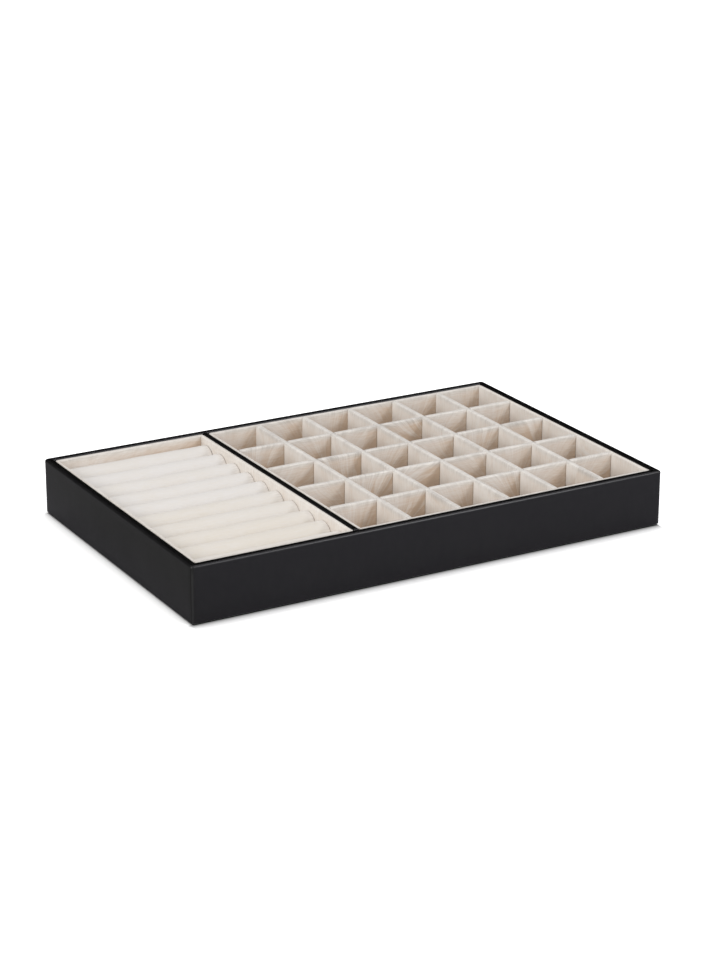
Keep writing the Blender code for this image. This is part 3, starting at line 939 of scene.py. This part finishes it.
def makePads():
    seeds = gridLayout["seeds"]
    changes = {
        "Edge": boardShape["padEdge"], "Crown": 0.0, "Seed": seeds["pad"],
        "Steps X": 80, "Steps Y": 80, "Steps Z": 6,
    }
    pad = makeBoard("gridFloorPad", "grid_floor_pad", "X", changes)
    changes = {
        "Edge": boardShape["padEdge"], "Material": foam, "Seed": seeds["riser"],
        "Steps X": 50, "Steps Y": 80, "Steps Z": 8,
    }
    makeBoard("ringRiser", "ring_riser", "X", changes)


coreShape = {
    "fillet": 1 * mm,
    "lumps": 0.05 * mm,
    "stepsRound": 33,
    "stepsAlong": 60,
}


def makeRolls():
    for i in range(1, rollShape["count"] + 1):
        sleeveNode = f"ring_roll_{i:02}_sleeve"
        low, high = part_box(sleeveNode)
        size = high - low
        values = {
            "Radius": size.z / 2,
            "Length": size.x + rollShape["longer"],
            "Fillet": rollShape["fillet"],
            "Mouth": rollShape["mouth"],
            "Place": (high + low) / 2,
            "Room": size.y / 2 + rollShape["wider"],
            "Steps round": rollShape["stepsRound"],
            "Steps along": rollShape["stepsAlong"],
            "Gather": rollShape["gather"],
            "Lumps": rollShape["lumps"],
            "Sway": rollShape["sway"],
            "Bay": cadBox[1][1] - rollShape["bayInset"],
            "Seed": i,
            "Material": rollVelvet,
        }
        sleeve = bake(f"ringRoll{i:02}Sleeve", rollTree, values)
        sheet = sleeve.modifiers.new("cloth thickness", "SOLIDIFY")
        sheet.thickness = rollShape["sheet"]
        sheet.offset = -1
        standFor(sleeve, sleeveNode)
        # The foam core sways as its sleeve does
        coreNode = f"ring_roll_{i:02}_core"
        low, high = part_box(coreNode)
        size = high - low
        values.update({
            "Radius": size.z / 2,
            "Length": size.x,
            "Fillet": coreShape["fillet"],
            "Mouth": 0.0,
            "Lumps": coreShape["lumps"],
            "Gather": 0.0,
            "Steps along": coreShape["stepsAlong"],
            "Steps round": coreShape["stepsRound"],
            "Material": foam,
        })
        standFor(bake(f"ringRoll{i:02}Core", rollTree, values), coreNode)


makeDividers()
makeLiners()
makePads()
makeRolls()
print("velvet pieces ready")


# Leatherette

wrapShape = {
    "sheet": 0.7 * mm,
    "wall": 6.0 * mm,        # from the outside to the inside of the walls
    "innerRim": 1.2 * mm,    # radii
    "outerRim": 2.2 * mm,
    "bottomEdge": 1.3 * mm,
    "corner": 2.5 * mm,
    "innerCorner": 0.5 * mm,
    "lip": 12 * mm,          # how far the sheet goes down inside, and in under the base
    "under": 10 * mm,
    "step": 4 * mm,
    "cornerSteps": 8,
    "innerSteps": 5,
    "outerSteps": 6,
    "faceSteps": 8,
    "waves": 0.12 * mm,
    "waveScale": 45,         # per metre
    "topWaveScale": 60,      # the same on the partition
    "mitre": 0.25 * mm,      # how deep the rim's folds lie in the corners
    "mitreFrom": 0.75,
}

wrapWearAndHighlight = {
    # How pale each edge is painted: wear, which on the outer rim also paints part of its highlight, and
    # a highlight line painted down the upright corners; before the last two come in
    "innerRim": 0.1,
    "outerRim": 1.0,
    "bottomEdge": 0.4,
    "upright": 1.3,
    "partition": 0.2,
    "share": 0.6,            # how much of the wear and painted highlight shows along an edge, and the painted highlight that a corner adds
    "atCorner": 0.8,
}


def arc(centre, radius, start, end, steps):
    # Points on an arc, with angles counted in quarter turns
    points = []
    for i in range(steps + 1):
        turn = (start + (end - start) * i / steps) * math.pi / 2
        points.append((centre[0] + radius * math.cos(turn), centre[1] + radius * math.sin(turn)))
    return points


def wearAndHighlightArc(centre, radius, start, steps, wearAndHighlight):
    # A quarter turn's points, each with its wear and painted highlight, which is strongest in the middle
    points = arc(centre, radius, start, start + 1, steps)
    return [(p, wearAndHighlight * math.sin(math.pi * i / steps)) for i, p in enumerate(points)]


def wrapSection(top, bottom):
    # Inset and height of the sheet's outer side, with how much wear and painted highlight each point
    # takes
    s = wrapShape
    inner, outer, foot = s["innerRim"], s["outerRim"], s["bottomEdge"]
    points = [((s["wall"], top - s["lip"]), 0)]
    points += wearAndHighlightArc((s["wall"] - inner, top - inner), inner, 0, s["innerSteps"], wrapWearAndHighlight["innerRim"])
    points += wearAndHighlightArc((outer, top - outer), outer, 1, s["outerSteps"], wrapWearAndHighlight["outerRim"])
    straight = top - outer - bottom - foot
    steps = s["faceSteps"]
    points += [((0, top - outer - straight * i / steps), 0) for i in range(1, steps)]
    points += wearAndHighlightArc((foot, bottom + foot), foot, 2, s["outerSteps"], wrapWearAndHighlight["bottomEdge"])
    points.append(((s["under"], bottom), 0))
    return points


def wrapRing(half, inset):
    # A rounded rectangle's points, with short steps on its sides, and how far into a corner each lies
    s = wrapShape
    radius = max(s["corner"] - inset, s["innerCorner"])
    x, y = half.x - inset - radius, half.y - inset - radius
    corners = ((x, y), (-x, y), (-x, -y), (x, -y))
    counts = (round(2 * half.x / s["step"]), round(2 * half.y / s["step"]))
    points = []
    for k, centre in enumerate(corners):
        bend = wearAndHighlightArc(centre, radius, k, s["cornerSteps"], 1)
        points += bend
        last = Vector(bend[-1][0])
        following = corners[(k + 1) % 4]
        first = Vector(arc(following, radius, k + 1, k + 2, 1)[0])
        steps = counts[k % 2]
        points += [(tuple(last.lerp(first, i / steps)), 0) for i in range(1, steps)]
    return points


def finishWrap(name, shape, node):
    # The sheet's outer side becomes a piece, which Solidify gives its thickness
    bmesh.ops.recalc_face_normals(shape, faces=shape.faces)
    mesh = bpy.data.meshes.new(name)
    shape.to_mesh(mesh)
    shape.free()
    mesh.shade_smooth()
    mesh.materials.append(leather)
    piece = bpy.data.objects.new(name, mesh)
    bpy.context.scene.collection.objects.link(piece)
    sheet = piece.modifiers.new("sheet", "SOLIDIFY")
    sheet.thickness = wrapShape["sheet"]
    sheet.offset = -1
    sheet.use_even_offset = True
    standFor(piece, node)


def makeOuterWrap():
    s = wrapShape
    low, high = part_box("outer_wrap")
    half = (high - low) / 2
    shape = bmesh.new()
    wearAndHighlight = shape.verts.layers.float.new("edgeWearAndHighlight")
    rings = []
    for (inset, height), edge in wrapSection(high.z, low.z):
        ring = []
        for (x, y), bend in wrapRing(half, inset):
            wave = s["waves"] * noise.noise(Vector((x, y, height)) * s["waveScale"])
            onRim = max(0.0, 1 - abs(high.z - height) / s["outerRim"]) if inset < s["wall"] else 0
            fold = s["mitre"] * onRim * max(0.0, bend - s["mitreFrom"]) / (1 - s["mitreFrom"])
            outward = Vector((x / half.x, y / half.y, 0)).normalized() if inset == 0 else Vector()
            vert = shape.verts.new(Vector((x, y, height - fold)) + outward * (wave - s["waves"]))
            # A highlight line is painted down the middle of each upright corner, and the corners of the
            # edges take a painted highlight spot
            below = inset < s["corner"] and height < high.z - s["outerRim"]
            upright = bend ** 4 * wrapWearAndHighlight["upright"] if below else 0
            worn = max(edge, upright) * wrapWearAndHighlight["share"] + edge * bend * wrapWearAndHighlight["atCorner"]
            vert[wearAndHighlight] = min(1, worn)
            ring.append(vert)
        rings.append(ring)
    for ring, following in zip(rings, rings[1:]):
        for i in range(len(ring)):
            after = (i + 1) % len(ring)
            shape.faces.new((ring[i], following[i], following[after], ring[after]))
    finishWrap("outerWrap", shape, "outer_wrap")


def makePartitionWrap():
    s = wrapShape
    low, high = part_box("partition_wrap")
    radius, middle = s["innerRim"], (low.z + high.z) / 2
    section = [((high.x, low.z), 0), ((high.x, middle), 0)]
    for k, x in enumerate((high.x - radius, low.x + radius)):
        section += wearAndHighlightArc((x, high.z - radius), radius, k, s["innerSteps"], wrapWearAndHighlight["partition"])
    section += [((low.x, middle), 0), ((low.x, low.z), 0)]
    steps = round((high.y - low.y) / s["step"])
    shape = bmesh.new()
    wearAndHighlight = shape.verts.layers.float.new("edgeWearAndHighlight")
    rows = []
    for j in range(steps + 1):
        y = low.y + (high.y - low.y) * j / steps
        row = []
        for (x, z), edge in section:
            wave = s["waves"] * (noise.noise(Vector((x, y, z)) * s["topWaveScale"]) - 0.5)
            vert = shape.verts.new((x, y, z + wave if z > high.z - radius else z))
            vert[wearAndHighlight] = edge
            row.append(vert)
        rows.append(row)
    for row, following in zip(rows, rows[1:]):
        for i in range(len(row) - 1):
            shape.faces.new((row[i], following[i], following[i + 1], row[i + 1]))
    finishWrap("partitionWrap", shape, "partition_wrap")


makeOuterWrap()
makePartitionWrap()
print("leatherette ready")


# The rest of the frame

def dressFrame():
    # Boards and felt keep their own shape and take a finish
    boards = ("base_board", "front_wall", "back_wall", "left_wall", "right_wall", "partition_board")
    finishes = {**{node: card for node in boards}, "base_cover": felt}
    for node, material in finishes.items():
        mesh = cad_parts[node].data
        mesh.materials.clear()
        mesh.materials.append(material)


dressFrame()
